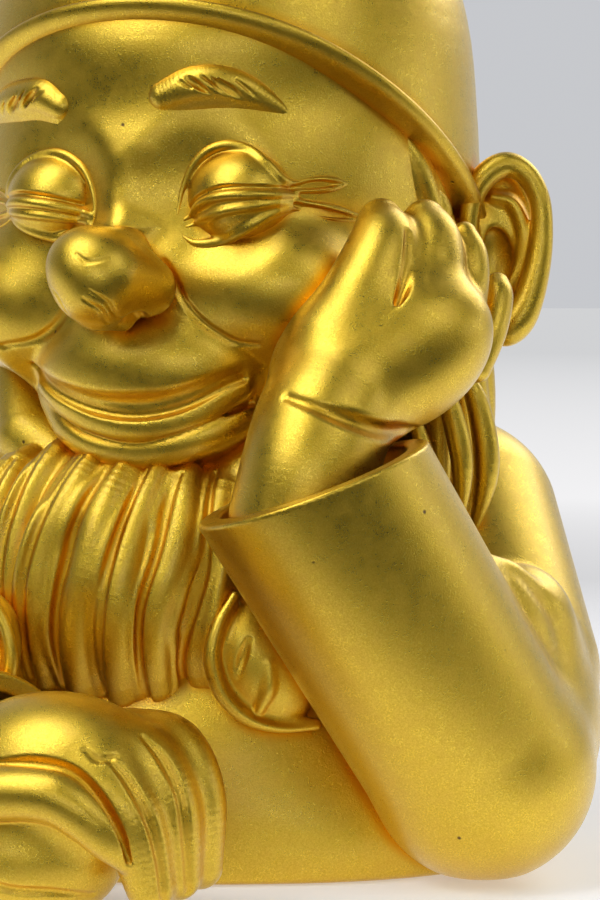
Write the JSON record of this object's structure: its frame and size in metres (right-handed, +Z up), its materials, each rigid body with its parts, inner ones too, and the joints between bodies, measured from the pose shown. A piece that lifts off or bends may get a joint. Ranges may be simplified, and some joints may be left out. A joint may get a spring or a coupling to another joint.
{
  "type": "garden gnome figurine",
  "caption": "Gold-painted garden gnome half-figure with a pointed hat and ribbed beard, leaning on its elbows with one hand on its cheek.",
  "frame": {"origin": "middle of the felt-covered underside, on the table's plane", "axes": "+Z up through the hat, -Y out of the figure's front, +X towards its left arm, the one that holds the cheek"},
  "size_m": [0.2071, 0.1974, 0.3121],
  "materials": {
    "gold_paint": "cast resin under metallic gold lacquer with fine flake, satin gloss",
    "base_plastic": "moulded, matte",
    "base_felt": "pressed felt",
    "bung_rubber": "moulded, matte",
    "dowel_steel": "drawn rod"
  },
  "bodies": {
    "root": {"torso_shell": "gold_paint", "base_plate": "base_plastic", "base_felt": "base_felt", "filler_bung": "bung_rubber", "head_shell": "gold_paint", "nose": "gold_paint", "eyelid_left": "gold_paint", "eyelid_right": "gold_paint", "eyebrow_left": "gold_paint", "eyebrow_right": "gold_paint", "ear_left": "gold_paint", "ear_right": "gold_paint", "hat_shell": "gold_paint", "hat_rim": "gold_paint", "beard": "gold_paint", "beard_curl_left": "gold_paint", "beard_curl_right": "gold_paint", "hair_left": "gold_paint", "hair_right": "gold_paint", "hair_back": "gold_paint", "sleeve_left": "gold_paint", "sleeve_right": "gold_paint", "hand_left": "gold_paint", "hand_right": "gold_paint", "shoulder_dowels": "dowel_steel", "wrist_dowels": "dowel_steel", "hat_dowel": "dowel_steel"}
  },
  "joints": []
}
